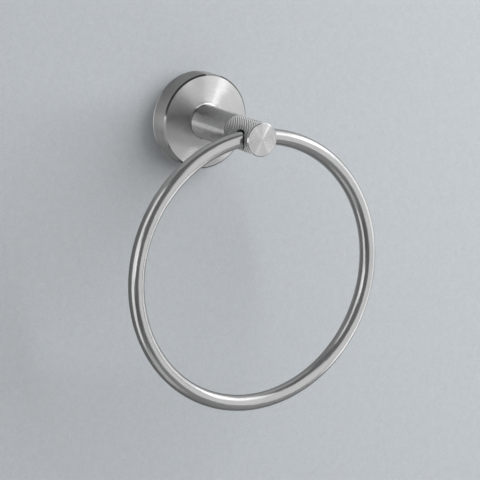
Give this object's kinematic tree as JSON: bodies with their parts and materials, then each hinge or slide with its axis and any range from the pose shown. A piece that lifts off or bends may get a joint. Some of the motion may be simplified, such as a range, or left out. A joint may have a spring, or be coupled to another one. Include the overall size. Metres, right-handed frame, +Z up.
{
  "type": "towel ring",
  "caption": "Wall-mounted towel ring: a round rose and post with a diamond-knurled head, and a round bar ring that hangs and swings through it.",
  "frame": {"origin": "on the wall, on the axis of the post and the rose", "axes": "+Z up, +Y into the wall, so that the post points along -Y and the ring hangs below it"},
  "size_m": [0.1694, 0.077, 0.1933],
  "materials": {
    "ring_steel": "satin along the bar",
    "knurled_steel": "diamond knurl, with a turned end face",
    "post_steel": "fine satin along the post",
    "rose_steel": "turned face with circular brush marks",
    "plated_steel": "zinc plated, plain",
    "screw_steel": "plain stainless fastener"
  },
  "bodies": {
    "holder": {"rose_cover": "rose_steel", "wall_plate": "plated_steel", "grub_screw": "screw_steel", "post_screw": "screw_steel", "washer": "plated_steel", "post": "post_steel", "head_stud": "screw_steel", "knurled_head": "knurled_steel"},
    "ring": {"ring": "ring_steel"}
  },
  "joints": [
    {"name": "ring_swing", "type": "hinge", "parent": "holder", "child": "ring", "pos_m": [0, -0.0675, 0], "axis": [-1, 0, 0], "range_deg": [-22, 202]}
  ]
}
